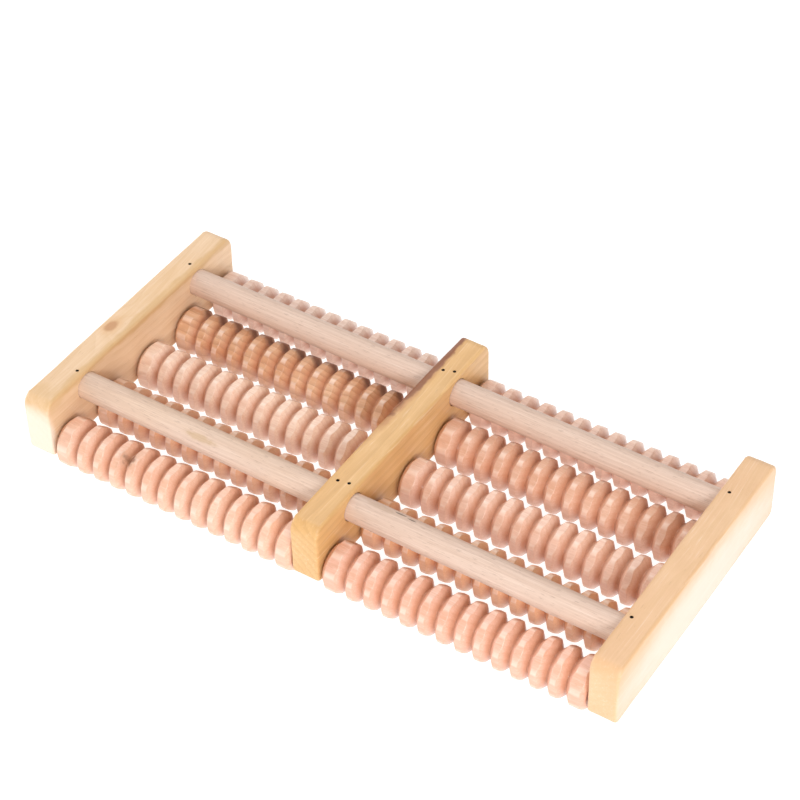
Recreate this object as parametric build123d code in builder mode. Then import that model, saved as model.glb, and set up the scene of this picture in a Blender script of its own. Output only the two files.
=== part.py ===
from build123d import *
import os

# Foot massage roller in wood: three rails joined by dowels, with two rows of five ridged rollers.
# It lies on its rollers, as it is stored, with the flat edges of its rails on top.
# X runs along the rollers, Y along the rails and Z up. The origin is under the centre, on the floor.
# Row 1 of each bank of rollers is at the back (+Y) and row 5 at the front (-Y).

# Frame
overall_length = 280  # over the outer faces of the end rails
rail_length = 129.5
rail_height = 30.5  # at the middle, where the lower edge bows down a little
rail_end_height = 29.6  # at the two ends
end_rail_thickness = 13
centre_rail_thickness = 13
upper_corner_radius = 6.0
lower_corner_radius = 2.5
rail_edge_radius = 1.3

# Rollers
row_count = 5
row_pitch = 27.3
axle_drop = 25.4  # from the flat edges of the rails down to the axles
ridge_count = 14
crest_radius = 11.0  # of the turned ridges
flat_distance = 10.35  # from the axle to the eight flats planed along the roller
flat_count = 8
groove_depth = 3.8
groove_half_width = 3.1
end_bevel = 2.3
end_gap = 0.8  # between a roller's end and the rail beside it

# Axle pins
pin_radius = 1.5
pin_running_clearance = 0.05
pin_in_end_rail = 8.5
pin_in_roller = 8.0
bore_depth = 9.5
pin_chamfer = 0.3

# Dowels
dowel_radius = 6.0
dowel_y = 38.8  # from the middle of the rails, to the front and to the back
dowel_drop = 8.3  # from the flat edges down to the dowel's axis
dowel_in_end_rail = 8.0
centre_socket_radius = 6.2
dowel_chamfer = 0.5

# Brads, each driven through a rail into a dowel's end
brad_length = 13.5
brad_shank_radius = 0.5
brad_head_radius = 0.75
brad_head_thickness = 0.6
brad_point_length = 1.5
brad_sink = 0.4  # the head lies this far below the wood's surface

axle_height = flat_distance
top_height = axle_height + axle_drop
dowel_height = top_height - dowel_drop
end_rail_inner_x = overall_length / 2 - end_rail_thickness
centre_rail_side_x = centre_rail_thickness / 2
roller_length = end_rail_inner_x - centre_rail_side_x - 2 * end_gap
left_roller_x = -end_rail_inner_x + end_gap
right_roller_x = centre_rail_side_x + end_gap
row_ys = [row_pitch * ((row_count + 1) / 2 - row) for row in range(1, row_count + 1)]

# The brads stand where a hand drove them, a few millimetres out of line with the dowels
brad_places = {
    "brad_back_left": (-131.2, 39.4),
    "brad_front_left": (-130.0, -40.4),
    "brad_back_centre_left": (-1.3, 39.9),
    "brad_back_centre_right": (3.2, 41.6),
    "brad_front_centre_left": (-2.4, -36.2),
    "brad_front_centre_right": (2.3, -35.2),
    "brad_back_right": (131.1, 39.2),
    "brad_front_right": (130.1, -37.6),
}


def make_brad(x, y):
    # a headed shank with a point, turned about a vertical axis
    head_top = top_height - brad_sink
    head_bottom = head_top - brad_head_thickness
    point_top = head_top - brad_length + brad_point_length
    with BuildPart() as brad:
        with BuildSketch(Plane.XZ.offset(-y)):
            with BuildLine():
                Polyline(
                    (x, head_top),
                    (x + brad_head_radius, head_top),
                    (x + brad_head_radius, head_bottom),
                    (x + brad_shank_radius, head_bottom),
                    (x + brad_shank_radius, point_top),
                    (x, head_top - brad_length),
                    close=True,
                )
            make_face()
        revolve(axis=Axis((x, y, 0), (0, 0, 1)))
    return brad.part


def make_rail(low_x, thickness, pin_hole, socket, socket_radius):
    # pin_hole and socket are each a start on X and a length
    # a flat upper edge, upright ends and a lower edge that bows downwards
    half_length = rail_length / 2
    end_bottom = top_height - rail_end_height
    low_back = (half_length, end_bottom)
    low_front = (-half_length, end_bottom)
    lowest = (0, top_height - rail_height)
    with BuildPart() as rail:
        with BuildSketch(Plane.YZ.offset(low_x)) as outline:
            with BuildLine():
                Polyline(low_front, (-half_length, top_height), (half_length, top_height), low_back)
                ThreePointArc(low_back, lowest, low_front)
            make_face()
            fillet(outline.vertices().group_by(Axis.Y)[-1], radius=upper_corner_radius)
            fillet(outline.vertices().group_by(Axis.Y)[0], radius=lower_corner_radius)
        extrude(amount=thickness)
        side_faces = rail.faces().filter_by(Axis.X)
        fillet(side_faces.edges(), radius=rail_edge_radius)
        with BuildSketch(Plane.YZ.offset(pin_hole[0])):
            with Locations(*[(y, axle_height) for y in row_ys]):
                Circle(pin_radius)
        extrude(amount=pin_hole[1], mode=Mode.SUBTRACT)
        with BuildSketch(Plane.YZ.offset(socket[0])):
            with Locations((dowel_y, dowel_height), (-dowel_y, dowel_height)):
                Circle(socket_radius)
        extrude(amount=socket[1], mode=Mode.SUBTRACT)
        add(list(brads.values()), mode=Mode.SUBTRACT)
        with BuildSketch(Plane.XY.offset(top_height - brad_sink)):
            with Locations(*brad_places.values()):
                Circle(brad_head_radius)
        extrude(amount=2 * brad_sink, mode=Mode.SUBTRACT)
    return rail.part


def make_dowel(low_x, length, y):
    with BuildPart() as dowel:
        with BuildSketch(Plane.YZ.offset(low_x)):
            with Locations((y, dowel_height)):
                Circle(dowel_radius)
        extrude(amount=length)
        chamfer(dowel.edges(), length=dowel_chamfer)
        add(list(brads.values()), mode=Mode.SUBTRACT)
    return dowel.part


def roller_outline(low_x):
    # half of the turned profile: a bevelled end, 14 ridges with V grooves between them, a bevelled end
    high_x = low_x + roller_length
    end_radius = crest_radius - end_bevel
    ridge_pitch = (roller_length - 2 * end_bevel - 2 * groove_half_width) / (ridge_count - 1)
    points = [(low_x, 0), (low_x, end_radius), (low_x + end_bevel, crest_radius)]
    for groove in range(ridge_count - 1):
        x = low_x + end_bevel + groove_half_width + ridge_pitch * (groove + 0.5)
        points.append((x - groove_half_width, crest_radius))
        points.append((x, crest_radius - groove_depth))
        points.append((x + groove_half_width, crest_radius))
    points += [(high_x - end_bevel, crest_radius), (high_x, end_radius), (high_x, 0)]
    return [(x, axle_height + radius) for x, radius in points]


def make_roller(low_x, y):
    high_x = low_x + roller_length
    with BuildPart() as roller:
        with BuildSketch(Plane.XZ.offset(-y)):
            with BuildLine():
                Polyline(*roller_outline(low_x), close=True)
            make_face()
        revolve(axis=Axis((0, y, axle_height), (1, 0, 0)))
        # eight flats planed along the ridges, one of them facing straight down
        with BuildSketch(Plane.YZ.offset(low_x)):
            with Locations((y, axle_height)):
                RegularPolygon(flat_distance, flat_count, major_radius=False, rotation=180 / flat_count)
        extrude(amount=roller_length, mode=Mode.INTERSECT)
        for end_x, depth in ((low_x, bore_depth), (high_x, -bore_depth)):
            with BuildSketch(Plane.YZ.offset(end_x)):
                with Locations((y, axle_height)):
                    Circle(pin_radius + pin_running_clearance)
            extrude(amount=depth, mode=Mode.SUBTRACT)
    return roller.part


def make_pin(low_x, high_x, y):
    with BuildPart() as pin:
        with BuildSketch(Plane.YZ.offset(low_x)):
            with Locations((y, axle_height)):
                Circle(pin_radius)
        extrude(amount=high_x - low_x)
        chamfer(pin.edges(), length=pin_chamfer)
    return pin.part


def write(piece, name):
    piece.label = name
    export_step(piece, f"parts/{name}.step")
    print(f"{name}: {piece.volume:.0f} mm3")


os.makedirs("parts", exist_ok=True)

brads = {name: make_brad(x, y) for name, (x, y) in brad_places.items()}
for name, brad in brads.items():
    write(brad, name)

end_socket_x = end_rail_inner_x + dowel_in_end_rail
end_pin_x = end_rail_inner_x + pin_in_end_rail
write(
    make_rail(
        -overall_length / 2,
        end_rail_thickness,
        pin_hole=(-end_pin_x, pin_in_end_rail),
        socket=(-end_socket_x, dowel_in_end_rail),
        socket_radius=dowel_radius,
    ),
    "left_rail",
)
write(
    make_rail(
        end_rail_inner_x,
        end_rail_thickness,
        pin_hole=(end_rail_inner_x, pin_in_end_rail),
        socket=(end_rail_inner_x, dowel_in_end_rail),
        socket_radius=dowel_radius,
    ),
    "right_rail",
)
write(
    make_rail(
        -centre_rail_side_x,
        centre_rail_thickness,
        pin_hole=(-centre_rail_side_x, centre_rail_thickness),
        socket=(-centre_rail_side_x, centre_rail_thickness),
        socket_radius=centre_socket_radius,
    ),
    "centre_rail",
)

# Left and right dowels meet end to end inside the centre rail
for place, y in (("back", dowel_y), ("front", -dowel_y)):
    write(make_dowel(-end_socket_x, end_socket_x, y), f"{place}_left_dowel")
    write(make_dowel(0, end_socket_x, y), f"{place}_right_dowel")

centre_pin_x = right_roller_x + pin_in_roller
end_pin_tip_x = end_rail_inner_x - end_gap - pin_in_roller
for row, y in enumerate(row_ys, start=1):
    write(make_roller(left_roller_x, y), f"left_roller_{row}")
    write(make_roller(right_roller_x, y), f"right_roller_{row}")
    write(make_pin(-end_pin_x, -end_pin_tip_x, y), f"left_pin_{row}")
    write(make_pin(-centre_pin_x, centre_pin_x, y), f"centre_pin_{row}")
    write(make_pin(end_pin_tip_x, end_pin_x, y), f"right_pin_{row}")

print(f"height of the flat edges above the floor: {top_height:.2f} mm")
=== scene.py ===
import math

import bmesh
import bpy
from mathutils import Matrix, Vector


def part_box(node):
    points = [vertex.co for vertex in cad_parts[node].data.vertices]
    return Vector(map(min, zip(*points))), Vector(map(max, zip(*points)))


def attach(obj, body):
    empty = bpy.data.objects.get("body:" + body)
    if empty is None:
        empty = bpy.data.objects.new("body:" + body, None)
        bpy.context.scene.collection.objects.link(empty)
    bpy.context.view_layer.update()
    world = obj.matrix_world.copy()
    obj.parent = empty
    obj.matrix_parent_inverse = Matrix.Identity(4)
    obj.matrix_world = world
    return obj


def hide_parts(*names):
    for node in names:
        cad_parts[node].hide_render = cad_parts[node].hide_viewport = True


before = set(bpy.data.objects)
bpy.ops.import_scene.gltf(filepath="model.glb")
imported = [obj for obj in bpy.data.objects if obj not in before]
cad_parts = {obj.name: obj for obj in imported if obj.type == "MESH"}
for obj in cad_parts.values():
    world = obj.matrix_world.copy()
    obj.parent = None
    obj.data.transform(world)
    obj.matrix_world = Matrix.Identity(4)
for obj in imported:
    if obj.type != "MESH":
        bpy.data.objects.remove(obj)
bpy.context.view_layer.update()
print("frame loaded")

mm = 0.001
rows = (1, 2, 3, 4, 5)


# ---- selecting and shaping

def deselectAll():
    if bpy.context.mode != "OBJECT":
        bpy.ops.object.mode_set(mode="OBJECT")
    bpy.ops.object.select_all(action="DESELECT")


def makeActive(obj):
    deselectAll()
    obj.select_set(True)
    bpy.context.view_layer.objects.active = obj


def editMode(obj):
    makeActive(obj)
    bpy.ops.object.mode_set(mode="EDIT")
    bpy.ops.mesh.select_all(action="SELECT")


def objectMode():
    bpy.ops.object.mode_set(mode="OBJECT")


def selectVerts(obj, test):
    # in edit mode: only the vertices whose place passes the test
    bpy.ops.mesh.select_mode(type="VERT")
    mesh = bmesh.from_edit_mesh(obj.data)
    for vert in mesh.verts:
        vert.select_set(False)
    for vert in mesh.verts:
        if test(vert.co):
            vert.select_set(True)
    mesh.select_flush_mode()
    bmesh.update_edit_mesh(obj.data)


def selectEdges(obj, test):
    bpy.ops.mesh.select_mode(type="EDGE")
    mesh = bmesh.from_edit_mesh(obj.data)
    for edge in mesh.edges:
        edge.select_set(False)
    for edge in mesh.edges:
        if test(edge.verts[0].co, edge.verts[1].co):
            edge.select_set(True)
    mesh.select_flush_mode()
    bmesh.update_edit_mesh(obj.data)


def selectFaces(obj, test):
    bpy.ops.mesh.select_mode(type="FACE")
    mesh = bmesh.from_edit_mesh(obj.data)
    for face in mesh.faces:
        face.select_set(False)
    for face in mesh.faces:
        if test(face.calc_center_median(), face.normal):
            face.select_set(True)
    mesh.select_flush_mode()
    bmesh.update_edit_mesh(obj.data)


def bisectAt(point, normal, clear=False):
    bpy.ops.mesh.select_all(action="SELECT")
    bpy.ops.mesh.bisect(plane_co=point, plane_no=normal, use_fill=clear, clear_outer=clear)


def applyModifier(obj, kind, name, **settings):
    makeActive(obj)
    modifier = obj.modifiers.new(name, kind)
    for key, value in settings.items():
        setattr(modifier, key, value)
    bpy.ops.object.modifier_apply(modifier=modifier.name)


def unevenTexture(name, size, depth=1):
    texture = bpy.data.textures.new(name, "CLOUDS")
    texture.noise_scale = size
    texture.noise_depth = depth
    return texture


def wearSurface(obj, texture, amount, group=""):
    # only ever takes wood away
    applyModifier(
        obj, "DISPLACE", "wear", texture=texture, texture_coords="LOCAL", strength=amount, mid_level=1.0,
        vertex_group=group,
    )


def boxOf(node):
    low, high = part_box(node)
    return low, high, (low + high) / 2


def middleOf(node):
    return boxOf(node)[2]


def finishPiece(obj, body, slotName, material, *nodes, angle=35, flatFaces=False):
    makeActive(obj)
    bpy.ops.object.transform_apply(location=True, rotation=True, scale=True)
    bpy.ops.object.shade_smooth_by_angle(angle=math.radians(angle))
    if flatFaces:
        applyModifier(obj, "WEIGHTED_NORMAL", "evenShading", mode="FACE_AREA", weight=80, keep_sharp=True)
    obj.data.materials.clear()
    obj.data.materials.append(material)
    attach(obj, body)
    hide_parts(*nodes)


# ---- wood finish

def addNode(tree, kind, inputs=None, **settings):
    node = tree.nodes.new(kind)
    for key, value in settings.items():
        setattr(node, key, value)
    for key, value in (inputs or {}).items():
        if isinstance(value, bpy.types.NodeSocket):
            tree.links.new(value, node.inputs[key])
        else:
            node.inputs[key].default_value = value
    return node


def placed(tree, source, at=(0, 0, 0), turn=(0, 0, 0), size=(1, 1, 1)):
    # the pattern's own space: moved to a place, turned, and stretched to a size
    node = addNode(tree, "ShaderNodeMapping", {"Vector": source}, vector_type="TEXTURE")
    node.inputs["Location"].default_value = at
    node.inputs["Rotation"].default_value = [math.radians(angle) for angle in turn]
    node.inputs["Scale"].default_value = size
    return node.outputs["Vector"]


def noise(tree, source, scale, detail=2.0, roughness=0.5, distortion=0.0, color=False):
    node = addNode(tree, "ShaderNodeTexNoise", {"Vector": source, "Scale": scale, "Detail": detail,
                                                "Roughness": roughness, "Distortion": distortion})
    return node.outputs["Color" if color else "Fac"]


def ramp(tree, value, start, end, low=0.0, high=1.0, smooth=True):
    node = addNode(tree, "ShaderNodeMapRange", {"Value": value, "From Min": start, "From Max": end,
                                                "To Min": low, "To Max": high})
    node.interpolation_type = "SMOOTHSTEP" if smooth else "LINEAR"
    return node.outputs["Result"]


def calc(tree, operation, first, second=0.0):
    return addNode(tree, "ShaderNodeMath", {0: first, 1: second}, operation=operation).outputs[0]


def vectorCalc(tree, operation, inputs, output="Vector"):
    return addNode(tree, "ShaderNodeVectorMath", inputs, operation=operation).outputs[output]


def blendColor(tree, amount, first, second, blendType="MIX"):
    node = addNode(tree, "ShaderNodeMix", data_type="RGBA", blend_type=blendType)
    for socket, value in ((node.inputs[0], amount), (node.inputs[6], first), (node.inputs[7], second)):
        if isinstance(value, bpy.types.NodeSocket):
            tree.links.new(value, socket)
        elif socket == node.inputs[0]:
            socket.default_value = value
        else:
            socket.default_value = (*value, 1.0)
    return node.outputs[2]


def patchMask(tree, source, patch):
    # a soft-edged, wavy ellipsoid: 1 inside, 0 outside
    space = placed(tree, source, patch["at"], patch.get("turn", (0, 0, 0)), patch["size"])
    reach = vectorCalc(tree, "LENGTH", {0: space}, "Value")
    wave = noise(tree, source, patch.get("waves", 180.0), 3.0)
    reach = calc(tree, "ADD", reach, calc(tree, "MULTIPLY", calc(tree, "SUBTRACT", wave, 0.5),
                                          patch.get("ragged", 0.8)))
    soft = patch.get("soft", 0.5)
    return ramp(tree, reach, 1.0 + soft / 2, 1.0 - soft / 2, 0.0, patch.get("strength", 1.0))


def makeWood(name, look, centre, grainTurn=(0, 0, 0)):
    # growth rings round a pith that lies beside the piece, with fibres, pores, cloudy tone and local marks, and
    # the painted shade, light and highlights that some looks list
    material = bpy.data.materials.new(name)
    material.use_nodes = True
    tree = material.node_tree
    tree.nodes.clear()
    source = addNode(tree, "ShaderNodeTexCoord").outputs["Object"]
    local = placed(tree, source, centre, grainTurn)  # X now runs along the grain, from the piece's middle

    cloud = noise(tree, placed(tree, local, size=(3.0, 1, 1)), 1 / look["warpSize"], 2.0, 0.5, 0.0, color=True)
    push = vectorCalc(tree, "SUBTRACT", {0: cloud, 1: (0.5, 0.5, 0.5)})
    push = vectorCalc(tree, "SCALE", {0: push, "Scale": look["warp"]})
    warped = vectorCalc(tree, "ADD", {0: local, 1: push})

    ringSpace = placed(tree, warped, look["pith"], look["tilt"], (6.0, 1, 1))
    phase = 0.0
    for knot in look.get("knots", ()):
        near = patchMask(tree, local, {**knot, "soft": 1.8, "ragged": 0.3, "strength": 1.0,
                                       "size": [3.0 * s for s in knot["size"]]})
        bend = calc(tree, "MULTIPLY", near, knot.get("bend", 12.0))
        phase = bend if phase == 0.0 else calc(tree, "ADD", phase, bend)
    ringNode = addNode(tree, "ShaderNodeTexWave", {
        "Vector": ringSpace, "Scale": 0.314 / look["ringWidth"], "Distortion": look["ringWander"],
        "Detail": 2.0, "Detail Scale": 1.3, "Detail Roughness": 0.6, "Phase Offset": phase},
        wave_type="RINGS", rings_direction="X", wave_profile="SAW")
    rings = ramp(tree, ringNode.outputs["Fac"], 0.25, 1.0, 0.0, 1.0)

    fibres = noise(tree, placed(tree, warped, size=(look.get("fibreLength", 30.0), 1, 1)),
                   1 / look["fibreWidth"], 5.0, 0.65)
    pores = noise(tree, placed(tree, warped, size=(14.0, 1, 1)), 1 / look["poreWidth"], 2.0, 0.5)
    pores = ramp(tree, pores, look["poreCut"], look["poreCut"] + 0.09)
    tone = noise(tree, placed(tree, local, size=(2.2, 1, 1)), 1 / look["toneSize"], 3.0, 0.55)
    tone = ramp(tree, tone, 0.32, 0.68)

    color = blendColor(tree, tone, look["light"], look["second"])
    ringAmount = calc(tree, "MULTIPLY", rings, look["ringStrength"])
    color = blendColor(tree, ringAmount, color, look["ringColor"])
    fibreAmount = ramp(tree, fibres, 0.35, 0.75, 0.0, look["fibreStrength"])
    color = blendColor(tree, fibreAmount, color, look["fibreColor"])
    paleAmount = ramp(tree, fibres, 0.46, 0.22, 0.0, look.get("paleStrength", 0.25))
    color = blendColor(tree, paleAmount, color, look.get("paleColor", (0.95, 0.86, 0.74)))
    poreAmount = calc(tree, "MULTIPLY", pores, look["poreStrength"])
    color = blendColor(tree, poreAmount, color, look["poreColor"])
    if "radialTints" in look:
        # by distance from the axle: painted shade makes the grooves darker and redder, and painted highlights
        # make the edges between flats pale
        across = vectorCalc(tree, "MULTIPLY", {0: local, 1: (0, 1, 1)})
        reach = vectorCalc(tree, "LENGTH", {0: across}, "Value")
        for start, end, strength, tint in look["radialTints"]:
            color = blendColor(tree, ramp(tree, reach, start, end, 0.0, strength), color, tint)
    for patch in look.get("patches", ()):
        color = blendColor(tree, patchMask(tree, local, patch), color, patch["color"])
    for knot in look.get("knots", ()):
        halo = patchMask(tree, local, {**knot, "soft": 1.2, "strength": 0.65 * knot.get("strength", 1.0),
                                       "size": [1.8 * s for s in knot["size"]]})
        color = blendColor(tree, halo, color, knot["halo"])
        core = patchMask(tree, local, {**knot, "soft": 0.7})
        color = blendColor(tree, core, color, knot["color"])

    height = calc(tree, "SUBTRACT", fibres, calc(tree, "MULTIPLY", pores, 0.7))
    height = calc(tree, "SUBTRACT", height, calc(tree, "MULTIPLY", rings, 0.25))
    bump = addNode(tree, "ShaderNodeBump", {"Height": height, "Strength": look["bump"], "Distance": 0.0002})
    roughness = ramp(tree, fibres, 0.3, 0.75, look["gloss"][0], look["gloss"][1], smooth=False)
    shader = addNode(tree, "ShaderNodeBsdfPrincipled", {
        "Base Color": color, "Roughness": roughness, "Normal": bump.outputs["Normal"],
        "Coat Weight": look["coat"], "Coat Roughness": look["coatRoughness"], "IOR": 1.5})
    addNode(tree, "ShaderNodeOutputMaterial", {"Surface": shader.outputs[0]})
    return material


# ---- rails

railSpec = {
    "voxel": 0.55 * mm,
    "archStations": 26,
    "archRise": 0.9 * mm,
    "upperCorner": 6.0 * mm,
    "lowerCorner": 2.5 * mm,
    "edge": 1.35 * mm,
    "wear": 0.30 * mm,
    "fineWear": 0.07 * mm,
    "pinHole": 1.53 * mm,
    "pinDepth": 8.6 * mm,
    "endSocket": 6.02 * mm,
    "endSocketDepth": 8.02 * mm,
    "centreSocket": 6.25 * mm,
    "bradHeadHole": 0.78 * mm,
    "bradHeadHeight": 0.6 * mm,
    "bradShankHole": 0.52 * mm,
    "drillOverrun": 1 * mm,  # each drill starts this far outside the wood
}
bradNames = [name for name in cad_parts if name.startswith("brad_")]
dowelNames = [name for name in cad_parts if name.endswith("_dowel")]


def addBar(name, x, y, z, radius, length, sides, axis="X"):
    deselectAll()
    turn = (0, math.pi / 2, 0) if axis == "X" else (0, 0, 0)
    bpy.ops.mesh.primitive_cylinder_add(
        vertices=sides, radius=radius, depth=length, location=(x, y, z), rotation=turn,
    )
    bar = bpy.context.object
    bar.name = name
    bpy.ops.object.transform_apply(location=True, rotation=True, scale=True)
    return bar


def cutWith(piece, cutters):
    deselectAll()
    for cutter in cutters:
        cutter.select_set(True)
    bpy.context.view_layer.objects.active = cutters[0]
    bpy.ops.object.join()
    tool = bpy.context.object
    applyModifier(piece, "BOOLEAN", "cut", object=tool, operation="DIFFERENCE", solver="EXACT")
    bpy.data.objects.remove(tool)


def makeRail(node, name, waneDepth=0.0):
    low, high, mid = boxOf(node)
    deselectAll()
    bpy.ops.mesh.primitive_cube_add(size=1, location=mid)
    rail = bpy.context.object
    rail.name = name
    rail.scale = high - low
    bpy.ops.object.transform_apply(location=True, rotation=True, scale=True)
    editMode(rail)
    halfLength = (high.y - low.y) / 2
    count = railSpec["archStations"]
    for step in range(1, count):
        y = low.y + (high.y - low.y) * step / count
        bisectAt((0, y, 0), (0, 1, 0))
    for step in range(count + 1):
        y = low.y + (high.y - low.y) * step / count
        rise = railSpec["archRise"] * (abs(y - mid.y) / halfLength) ** 2
        selectVerts(rail, lambda co: abs(co.y - y) < 0.1 * mm and co.z < mid.z)
        bpy.ops.transform.translate(value=(0, 0, rise))
    # rounded corners, then a softened edge all the way round both sides
    for upper, radius in ((True, railSpec["upperCorner"]), (False, railSpec["lowerCorner"])):
        selectEdges(rail, lambda a, b: abs(a.x - b.x) > 1 * mm and abs(abs(a.y - mid.y) - halfLength) < 0.1 * mm
                    and (a.z > mid.z) == upper)
        bpy.ops.mesh.bevel(offset=radius, segments=6, affect="EDGES")
    selectFaces(rail, lambda centre, normal: abs(normal.x) > 0.9)
    bpy.ops.mesh.region_to_loop()
    bpy.ops.mesh.bevel(offset=railSpec["edge"], segments=4, affect="EDGES")
    if waneDepth:
        # the tree's own outside runs out along one upper edge
        corner = Vector((low.x, high.y, high.z))
        for depth, lean in ((waneDepth, 2.1), (0.7 * waneDepth, 0.9)):
            normal = Vector((-1.0, 0.085, lean)).normalized()
            bisectAt(corner - normal * depth, normal, clear=True)
    objectMode()
    applyModifier(rail, "REMESH", "evenMesh", mode="VOXEL", voxel_size=railSpec["voxel"])
    applyModifier(rail, "SMOOTH", "handSanded", factor=0.5, iterations=2)
    wearSurface(rail, unevenTexture(name + "Waves", 14 * mm), railSpec["wear"])
    wearSurface(rail, unevenTexture(name + "Scrape", 2.5 * mm, 2), railSpec["fineWear"])
    return rail


def drillRail(rail, node):
    low, high, mid = boxOf(node)
    overrun = railSpec["drillOverrun"]
    cutters = []

    def drillAcross(name, place, radius, depth, sides):
        # right through the centre rail, and from the inner side only into an end rail
        if node == "centre_rail":
            cutters.append(addBar(name, mid.x, place.y, place.z, radius, 20 * mm, sides))
        else:
            towardsCentre = 1 if mid.x < 0 else -1
            innerX = high.x if mid.x < 0 else low.x
            x = innerX - towardsCentre * (depth / 2 - overrun)
            cutters.append(addBar(name, x, place.y, place.z, radius, depth + 2 * overrun, sides))

    for row in rows:
        drillAcross("pinDrill", middleOf(f"left_pin_{row}"), railSpec["pinHole"], railSpec["pinDepth"], 28)
    socket = railSpec["centreSocket" if node == "centre_rail" else "endSocket"]
    for name in ("back_left_dowel", "front_left_dowel"):
        drillAcross("socketDrill", middleOf(name), socket, railSpec["endSocketDepth"], 72)
    for name in bradNames:
        bradLow, bradHigh, bradMid = boxOf(name)
        if low.x < bradMid.x < high.x:
            top = high.z + 0.5 * mm
            headBottom = bradHigh.z - railSpec["bradHeadHeight"]
            cutters.append(addBar("bradDrill", bradMid.x, bradMid.y, (top + headBottom) / 2,
                                  railSpec["bradHeadHole"], top - headBottom, 20, "Z"))
            cutters.append(addBar("bradDrill", bradMid.x, bradMid.y, (headBottom + bradLow.z) / 2,
                                  railSpec["bradShankHole"], headBottom - bradLow.z + 0.2 * mm, 12, "Z"))
    cutWith(rail, cutters)


endRailLook = {
    "light": (0.80, 0.55, 0.34), "second": (0.86, 0.62, 0.41),
    "warpSize": 0.045, "warp": 0.010, "pith": (0.0, 0.035, -0.045), "tilt": (0, 2.5, 1.0),
    "ringWidth": 3.4 * mm, "ringWander": 1.1, "ringStrength": 0.20, "ringColor": (0.66, 0.40, 0.18),
    "fibreWidth": 0.9 * mm, "fibreStrength": 0.28, "fibreColor": (0.66, 0.41, 0.20),
    "poreWidth": 0.35 * mm, "poreCut": 0.66, "poreStrength": 0.35, "poreColor": (0.45, 0.26, 0.13),
    "toneSize": 0.03, "bump": 0.25, "gloss": (0.42, 0.55), "coat": 0.25, "coatRoughness": 0.22,
}
leftRailLook = {
    **endRailLook,
    "patches": (
        {"at": (0.0, -0.0058, 0.0148), "size": (0.085, 0.0020, 0.0026), "color": (0.62, 0.36, 0.13),
         "strength": 0.65, "ragged": 1.6, "waves": 90.0, "soft": 0.9},
        {"at": (-0.059, 0.0, 0.0130), "size": (0.006, 0.02, 0.0035), "color": (0.68, 0.42, 0.17),
         "strength": 0.40, "ragged": 1.4, "waves": 200.0, "soft": 0.9},
        # painted light: the front end face made paler and whiter, as if brightly lit
        {"at": (-0.066, 0.0, -0.004), "size": (0.0045, 0.02, 0.014), "color": (0.90, 0.80, 0.68),
         "strength": 0.7, "ragged": 0.4, "soft": 0.6},
        {"at": (0.020, 0.0, 0.016), "size": (0.022, 0.005, 0.003), "color": (0.74, 0.45, 0.20),
         "strength": 0.35, "ragged": 1.0, "soft": 1.0},
    ),
    "knots": (
        {"at": (-0.011, 0.0015, 0.0152), "size": (0.0034, 0.0022, 0.010), "color": (0.50, 0.22, 0.08),
         "halo": (0.70, 0.38, 0.15), "strength": 0.7, "bend": 9.0},
    ),
}
rightRailLook = {
    **endRailLook,
    "light": (0.76, 0.46, 0.25), "second": (0.80, 0.52, 0.30),
    "pith": (0.0, -0.030, -0.055), "tilt": (0, 1.5, -1.5), "ringStrength": 0.16,
    "patches": (
        # painted light: the outer side made paler, as if brightly lit from the right
        {"at": (0.0, -0.0085, -0.004), "size": (0.095, 0.0030, 0.021), "color": (0.84, 0.74, 0.65),
         "strength": 0.7, "ragged": 0.15, "soft": 0.5},
    ),
}
centreRailLook = {
    **endRailLook,
    "light": (0.73, 0.42, 0.16), "second": (0.77, 0.48, 0.215), "ringColor": (0.55, 0.28, 0.09),
    "fibreColor": (0.56, 0.31, 0.11), "ringStrength": 0.30,
    "pith": (0.0, 0.025, -0.030), "tilt": (0, -2.0, 1.5),
    "patches": (
        {"at": (0.034, 0.0052, 0.0146), "size": (0.042, 0.0026, 0.0034), "color": (0.48, 0.20, 0.07),
         "strength": 0.7, "ragged": 1.3, "waves": 120.0, "soft": 0.7},
        {"at": (0.040, 0.0058, 0.0140), "size": (0.036, 0.0030, 0.0036), "color": (0.26, 0.085, 0.030),
         "strength": 0.95, "ragged": 1.0, "waves": 220.0, "soft": 0.45},
    ),
}

railTurn = (0, 0, 90)  # the grain follows the rail
for node, name, look, wane, slotName in (
    ("left_rail", "rail_left", leftRailLook, 0.0, "end_rail_wood"),
    ("centre_rail", "rail_centre", centreRailLook, 1.6 * mm, "centre_rail_wood"),
    ("right_rail", "rail_right", rightRailLook, 0.0, "end_rail_wood"),
):
    rail = makeRail(node, name, wane)
    drillRail(rail, node)
    wood = makeWood(name + "Wood", look, middleOf(node), railTurn)
    finishPiece(rail, "frame", slotName, wood, node)
    print("made", name, len(rail.data.polygons), "faces")


# ---- dowels

dowelSpec = {
    "sides": 56,
    "station": 7 * mm,
    "edge": 0.6 * mm,
    "wear": 0.16 * mm,
    "bradHole": 0.53 * mm,
    "drillAbove": 3 * mm,  # the drill is centred this far above the axis
    "bradReach": 6 * mm,  # a brad this near to the axis, from front to back, is driven into the dowel
}
dowelLook = {
    "light": (0.72, 0.52, 0.41), "second": (0.75, 0.57, 0.47),
    "warpSize": 0.06, "warp": 0.003, "pith": (0.0, 0.012, -0.016), "tilt": (0, 0.6, 0.8),
    "ringWidth": 1.7 * mm, "ringWander": 0.8, "ringStrength": 0.22, "ringColor": (0.56, 0.37, 0.27),
    "fibreWidth": 0.55 * mm, "fibreLength": 45.0, "fibreStrength": 0.42, "fibreColor": (0.50, 0.33, 0.24),
    "poreWidth": 0.30 * mm, "poreCut": 0.62, "poreStrength": 0.5, "poreColor": (0.36, 0.22, 0.16),
    "toneSize": 0.04, "bump": 0.35, "gloss": (0.5, 0.65), "coat": 0.08, "coatRoughness": 0.3,
    "paleColor": (0.90, 0.80, 0.72), "paleStrength": 0.35,
}
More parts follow.
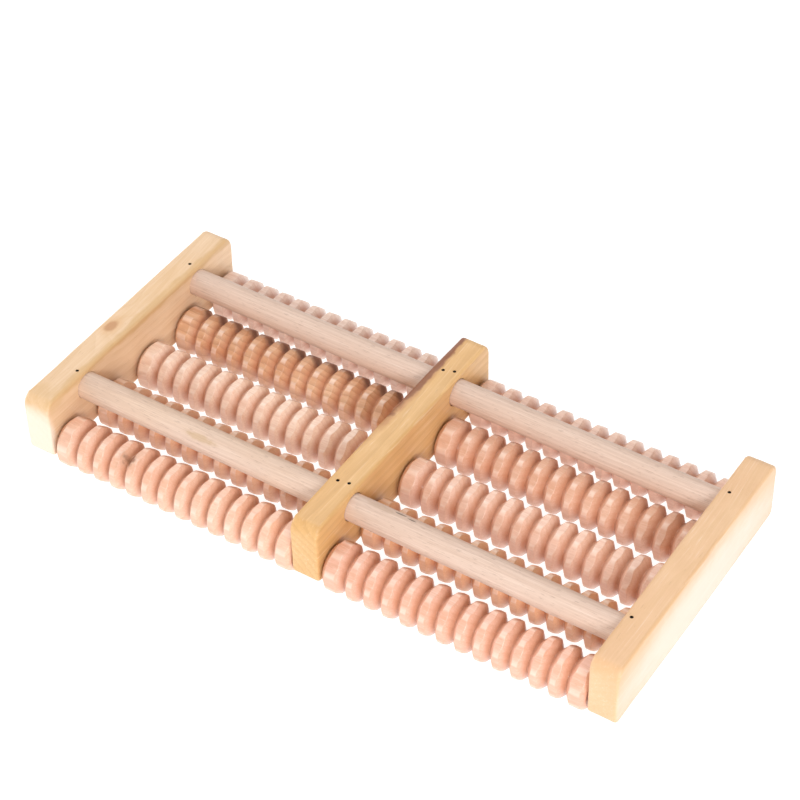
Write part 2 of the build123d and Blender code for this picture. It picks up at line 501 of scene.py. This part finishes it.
dowelMarks = {
    "front_right_dowel": {
        "pith": (0.0, 0.016, -0.006),
        "patches": (
            {"at": (-0.047, 0.0010, 0.0058), "size": (0.0070, 0.0012, 0.002), "color": (0.50, 0.33, 0.22),
             "strength": 0.5, "ragged": 1.2, "soft": 1.0},
            {"at": (-0.0400, 0.0022, 0.0054), "size": (0.0026, 0.0005, 0.002), "color": (0.16, 0.11, 0.08),
             "strength": 0.8, "ragged": 0.9, "waves": 500.0, "soft": 0.5},
            {"at": (-0.0345, 0.0016, 0.0056), "size": (0.0020, 0.0004, 0.002), "color": (0.16, 0.11, 0.08),
             "strength": 0.8, "ragged": 0.9, "waves": 500.0, "soft": 0.5},
        ),
    },
    "back_right_dowel": {"pith": (0.0, -0.014, -0.010)},
    "front_left_dowel": {
        "pith": (0.0, 0.010, -0.020), "light": (0.74, 0.53, 0.39),
        "patches": (
            {"at": (0.0020, -0.0040, 0.0042), "size": (0.0070, 0.0014, 0.0014), "color": (0.50, 0.32, 0.15),
             "strength": 0.5, "ragged": 1.4, "waves": 300.0, "soft": 0.9},
        ),
    },
    "back_left_dowel": {"pith": (0.0, -0.018, -0.004)},
}


def makeDowel(node, name):
    low, high, mid = boxOf(node)
    dowel = addBar(name, mid.x, mid.y, mid.z, (high.z - low.z) / 2, high.x - low.x, dowelSpec["sides"])
    editMode(dowel)
    x = low.x + dowelSpec["station"]
    while x < high.x - 2 * mm:
        bisectAt((x, 0, 0), (1, 0, 0))
        x += dowelSpec["station"]
    selectFaces(dowel, lambda centre, normal: abs(normal.x) > 0.9)
    bpy.ops.mesh.region_to_loop()
    bpy.ops.mesh.bevel(offset=dowelSpec["edge"], segments=3, affect="EDGES")
    objectMode()
    wearSurface(dowel, unevenTexture(name + "Waves", 16 * mm), dowelSpec["wear"])
    cutters = []
    for brad in bradNames:
        point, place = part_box(brad)[0], middleOf(brad)
        if abs(place.y - mid.y) < dowelSpec["bradReach"] and low.x < place.x < high.x:
            z = mid.z + dowelSpec["drillAbove"]
            cutters.append(addBar("bradDrill", place.x, place.y, z, dowelSpec["bradHole"],
                                  2 * (z - point.z) + 0.2 * mm, 12, "Z"))
    if cutters:
        cutWith(dowel, cutters)
    return dowel


for node in dowelNames:
    name = "dowel_" + node.replace("_dowel", "")
    dowel = makeDowel(node, name)
    wood = makeWood(name + "Wood", {**dowelLook, **dowelMarks[node]}, middleOf(node))
    finishPiece(dowel, "frame", "dowel_wood", wood, node)
print("made dowels")


# ---- rollers

rollerSpec = {
    "sides": 64,
    "ridges": 14,
    "crest": 10.992 * mm,  # with the flats at 10.35 mm each flat ends on an edge of the 64 sides
    "flat": 10.35 * mm,
    "flats": 8,
    "groove": 3.8 * mm,
    "grooveHalf": 3.1 * mm,
    "endBevel": 2.3 * mm,
    "bore": 1.56 * mm,
    "boreDepth": 9.5 * mm,
    "softEdge": 0.2 * mm,
    "wear": 0.08 * mm,
    "skinInside": 4 * mm,  # only what lies outside this radius wears, so the bore stays round
    "skinAbove": 1.0 * mm,  # and the flat on the floor stays flat
}


def makeRollerBlank(node):
    # one turned and planed roller, copied for all ten places
    low, high, mid = boxOf(node)
    spec = rollerSpec
    length = high.x - low.x
    axle = Vector((mid.x, mid.y, low.z + spec["flat"]))
    blank = addBar("rollerBlank", axle.x, axle.y, axle.z, spec["crest"], length, spec["sides"])
    pitch = (length - 2 * spec["endBevel"] - 2 * spec["grooveHalf"]) / (spec["ridges"] - 1)
    editMode(blank)
    grooves = []
    for groove in range(spec["ridges"] - 1):
        x = low.x + spec["endBevel"] + spec["grooveHalf"] + pitch * (groove + 0.5)
        grooves.append(x)
        for offset in (-spec["grooveHalf"], 0, spec["grooveHalf"]):
            bisectAt((x + offset, 0, 0), (1, 0, 0))
    for x in (low.x + spec["endBevel"], high.x - spec["endBevel"]):
        bisectAt((x, 0, 0), (1, 0, 0))
    small = (spec["crest"] - spec["groove"]) / spec["crest"]
    for x in grooves:
        selectVerts(blank, lambda co: abs(co.x - x) < 0.1 * mm)
        bpy.ops.transform.resize(value=(1, small, small), center_override=(x, axle.y, axle.z))
    small = (spec["crest"] - spec["endBevel"]) / spec["crest"]
    for x in (low.x, high.x):
        selectVerts(blank, lambda co: abs(co.x - x) < 0.1 * mm)
        bpy.ops.transform.resize(value=(1, small, small), center_override=(x, axle.y, axle.z))
    for flat in range(spec["flats"]):
        angle = 2 * math.pi * flat / spec["flats"]
        normal = Vector((0, math.sin(angle), -math.cos(angle)))
        bisectAt(axle + normal * spec["flat"], normal, clear=True)
    bpy.ops.mesh.select_all(action="SELECT")
    bpy.ops.mesh.remove_doubles(threshold=0.05 * mm)
    for side, x in ((1, high.x), (-1, low.x)):
        selectFaces(blank, lambda centre, normal: normal.x * side > 0.9 and abs(centre.x - x) < 0.1 * mm)
        bpy.ops.mesh.inset(thickness=spec["crest"] - spec["endBevel"] - spec["bore"])
        bpy.ops.mesh.extrude_region_move(TRANSFORM_OT_translate={"value": (-side * spec["boreDepth"], 0, 0)})
    objectMode()
    applyModifier(blank, "BEVEL", "softEdges", width=spec["softEdge"], segments=2, limit_method="ANGLE",
                  angle_limit=math.radians(12), use_clamp_overlap=False)
    editMode(blank)
    bpy.ops.mesh.remove_doubles(threshold=0.01 * mm)
    objectMode()
    return blank, axle


def copyRoller(blank, axle, node, name):
    makeActive(blank)
    bpy.ops.object.duplicate(linked=False)
    roller = bpy.context.object
    roller.name = name
    mid = middleOf(node)
    place = Vector((mid.x, mid.y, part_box(node)[0].z + rollerSpec["flat"]))
    bpy.ops.transform.translate(value=place - axle)
    bpy.ops.object.transform_apply(location=True, rotation=True, scale=True)
    skin = roller.vertex_groups.new(name="skin")
    outer = [
        vert.index for vert in roller.data.vertices
        if math.hypot(vert.co.y - place.y, vert.co.z - place.z) > rollerSpec["skinInside"]
        and vert.co.z > rollerSpec["skinAbove"]
    ]
    skin.add(outer, 1.0, "REPLACE")
    wearSurface(roller, unevenTexture(name + "Waves", 7 * mm), rollerSpec["wear"], "skin")
    roller.vertex_groups.clear()
    return roller


rollerLook = {
    "light": (0.80, 0.46, 0.31), "second": (0.86, 0.56, 0.42),
    "warpSize": 0.03, "warp": 0.008, "pith": (0.0, 0.016, -0.010), "tilt": (0, 3.0, 4.0),
    "ringWidth": 2.9 * mm, "ringWander": 2.2, "ringStrength": 0.20, "ringColor": (0.62, 0.29, 0.16),
    "fibreWidth": 0.6 * mm, "fibreLength": 8.0, "fibreStrength": 0.32, "fibreColor": (0.62, 0.30, 0.17),
    "poreWidth": 0.35 * mm, "poreCut": 0.66, "poreStrength": 0.35, "poreColor": (0.36, 0.16, 0.09),
    "toneSize": 0.012, "bump": 0.25, "gloss": (0.34, 0.46), "coat": 0.6, "coatRoughness": 0.16,
    "paleColor": (0.94, 0.76, 0.62), "paleStrength": 0.35,
    "radialTints": (
        # from one radius to another, how strongly, and the tint there
        # painted shade, darker and redder towards the bottom of each groove
        (10.0 * mm, 7.6 * mm, 0.65, (0.56, 0.22, 0.11)),
        # painted highlight, pale on the edges between flats
        (10.5 * mm, 10.9 * mm, 0.45, (0.95, 0.74, 0.62)),
    ),
}
rollerMarks = {
    "left_roller_1": {"light": (0.90, 0.64, 0.52), "second": (0.93, 0.72, 0.60), "pith": (0.0, -0.020, 0.006)},
    "left_roller_2": {
        "light": (0.64, 0.31, 0.15), "second": (0.78, 0.48, 0.29), "ringColor": (0.36, 0.13, 0.05),
        "ringStrength": 0.34, "pith": (0.0, 0.012, 0.018),
        "patches": (
            # painted shade: a near-black streak along the upper back, where the ridges face away from the light
            {"at": (0.0, 0.0078, 0.0080), "size": (0.080, 0.0048, 0.0044), "color": (0.18, 0.060, 0.028),
             "strength": 0.85, "ragged": 1.3, "soft": 0.9, "waves": 140.0},
        ),
    },
    "left_roller_3": {"light": (0.90, 0.62, 0.47), "second": (0.93, 0.70, 0.55), "pith": (0.0, 0.022, 0.004)},
    "left_roller_4": {"light": (0.72, 0.37, 0.20), "second": (0.78, 0.47, 0.29), "pith": (0.0, -0.015, -0.015)},
    "left_roller_5": {
        "light": (0.84, 0.47, 0.32), "second": (0.90, 0.58, 0.43), "pith": (0.0, 0.014, -0.014),
        "knots": (
            {"at": (-0.0240, -0.0045, 0.0095), "size": (0.0026, 0.0034, 0.0030), "color": (0.20, 0.075, 0.035),
             "halo": (0.60, 0.30, 0.17), "strength": 0.8, "bend": 5.0, "waves": 420.0, "ragged": 1.4},
            {"at": (-0.0150, -0.0095, -0.0030), "size": (0.0012, 0.0016, 0.0012), "color": (0.24, 0.10, 0.06),
             "halo": (0.60, 0.30, 0.17), "strength": 0.6, "bend": 3.0, "waves": 420.0, "ragged": 1.2},
        ),
    },
    "right_roller_1": {"light": (0.88, 0.55, 0.41), "second": (0.92, 0.63, 0.49), "pith": (0.0, 0.018, 0.012)},
    "right_roller_2": {"light": (0.74, 0.41, 0.27), "second": (0.80, 0.50, 0.36), "pith": (0.0, -0.012, -0.018)},
    "right_roller_3": {"light": (0.83, 0.51, 0.37), "second": (0.88, 0.59, 0.46), "pith": (0.0, 0.020, -0.004)},
    "right_roller_4": {"light": (0.76, 0.38, 0.18), "second": (0.82, 0.46, 0.25), "pith": (0.0, 0.015, 0.015)},
    "right_roller_5": {"light": (0.80, 0.42, 0.29), "second": (0.86, 0.50, 0.37), "pith": (0.0, -0.018, -0.010)},
}

blank, blankAxle = makeRollerBlank("left_roller_3")
for bank in ("left", "right"):
    for row in rows:
        node = f"{bank}_roller_{row}"
        roller = copyRoller(blank, blankAxle, node, f"roller_{bank}_{row}")
        wood = makeWood(f"roller{bank.title()}{row}Wood", {**rollerLook, **rollerMarks[node]}, middleOf(node))
        finishPiece(roller, f"{bank}_row_{row}", "roller_wood", wood, node, angle=60, flatFaces=True)
print("made rollers", len(blank.data.polygons), "faces each")
bpy.data.objects.remove(blank)


# ---- steel

def makeSteel(name, color, rust, rustAmount, roughness):
    material = bpy.data.materials.new(name)
    material.use_nodes = True
    tree = material.node_tree
    tree.nodes.clear()
    source = addNode(tree, "ShaderNodeTexCoord").outputs["Object"]
    blotch = noise(tree, source, 900.0, 4.0, 0.6)
    mask = ramp(tree, blotch, 0.62 - rustAmount, 0.72 - rustAmount)
    tint = blendColor(tree, mask, color, rust)
    rough = ramp(tree, blotch, 0.3, 0.7, roughness, roughness + 0.25, smooth=False)
    bump = addNode(tree, "ShaderNodeBump", {"Height": blotch, "Strength": 0.3, "Distance": 0.0001})
    shader = addNode(tree, "ShaderNodeBsdfPrincipled", {
        "Base Color": tint, "Roughness": rough, "Normal": bump.outputs["Normal"], "Metallic": 0.9})
    addNode(tree, "ShaderNodeOutputMaterial", {"Surface": shader.outputs[0]})
    return material


pinSteel = makeSteel("pinSteel", (0.42, 0.40, 0.38), (0.20, 0.12, 0.08), 0.05, 0.35)
bradSteel = makeSteel("bradSteel", (0.022, 0.018, 0.015), (0.030, 0.014, 0.008), 0.12, 0.6)
for name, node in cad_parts.items():
    if "_pin_" in name or name.startswith("brad_"):
        node.data.materials.clear()
        node.data.materials.append(bradSteel if name.startswith("brad_") else pinSteel)
print("made steel")


# ---- stage, light and camera

stage = {"floorSize": 6.0, "floorColor": (0.30, 0.30, 0.30), "floorGlow": 0.92, "sky": 0.54}
lamps = (
    # name, place, size, power, color
    ("topLamp", (-0.45, 0.55, 1.25), 0.9, 6.0, (1.0, 1.0, 1.0)),
    ("leftLamp", (-1.35, -0.35, 0.32), 0.7, 8.0, (1.0, 1.0, 1.0)),
    ("rightLamp", (1.35, 0.10, 0.22), 0.6, 1.5, (1.0, 1.0, 1.0)),
    ("sideLamp", (0.85, -0.78, 0.55), 0.4, 8.0, (1.0, 1.0, 1.0)),
    ("frontLamp", (0.25, -1.10, 0.95), 0.5, 2.5, (1.0, 1.0, 1.0)),
)
view = {
    "azimuth": 33.95, "elevation": 43.41, "roll": 1.46,  # degrees, from straight in front
    "distance": 0.9875, "target": (-0.0154, 0.0284, 0.0206), "lens": 106.6,
}

deselectAll()
bpy.ops.mesh.primitive_plane_add(size=stage["floorSize"], location=(0, 0, 0))
floor = bpy.context.object
floor.name = "floor"
floorPaint = bpy.data.materials.new("floorPaint")
floorPaint.use_nodes = True
floorShader = floorPaint.node_tree.nodes["Principled BSDF"]
floorShader.inputs["Base Color"].default_value = (*stage["floorColor"], 1)
floorShader.inputs["Roughness"].default_value = 0.9
floorShader.inputs["Emission Color"].default_value = (1, 1, 1, 1)
floorShader.inputs["Emission Strength"].default_value = stage["floorGlow"]
floor.data.materials.append(floorPaint)

world = bpy.data.worlds.new("studio")
bpy.context.scene.world = world
world.use_nodes = True
world.node_tree.nodes["Background"].inputs["Color"].default_value = (1, 1, 1, 1)
world.node_tree.nodes["Background"].inputs["Strength"].default_value = stage["sky"]

for name, place, size, power, color in lamps:
    lampData = bpy.data.lights.new(name, "AREA")
    lampData.shape = "SQUARE"
    lampData.size = size
    lampData.energy = power
    lampData.color = color
    lamp = bpy.data.objects.new(name, lampData)
    bpy.context.scene.collection.objects.link(lamp)
    lamp.location = place
    lamp.rotation_euler = (Vector((0, 0, 0)) - Vector(place)).to_track_quat("-Z", "Y").to_euler()

azimuth, elevation, roll = (math.radians(view[key]) for key in ("azimuth", "elevation", "roll"))
level = math.cos(elevation)
away = Vector((math.sin(azimuth) * level, -math.cos(azimuth) * level, math.sin(elevation)))
side = Vector((math.cos(azimuth), math.sin(azimuth), 0))
up = away.cross(side)
rolledUp = up * math.cos(roll) + side * math.sin(roll)
rolledSide = rolledUp.cross(away)
cameraData = bpy.data.cameras.new("camera")
cameraData.lens = view["lens"]
cameraData.clip_start = 0.01
camera = bpy.data.objects.new("camera", cameraData)
bpy.context.scene.collection.objects.link(camera)
turn = Matrix((rolledSide, rolledUp, away)).transposed()
camera.matrix_world = Matrix.Translation(Vector(view["target"]) + away * view["distance"]) @ turn.to_4x4()
bpy.context.scene.camera = camera
bpy.context.scene.view_settings.view_transform = "Standard"
print("stage set")
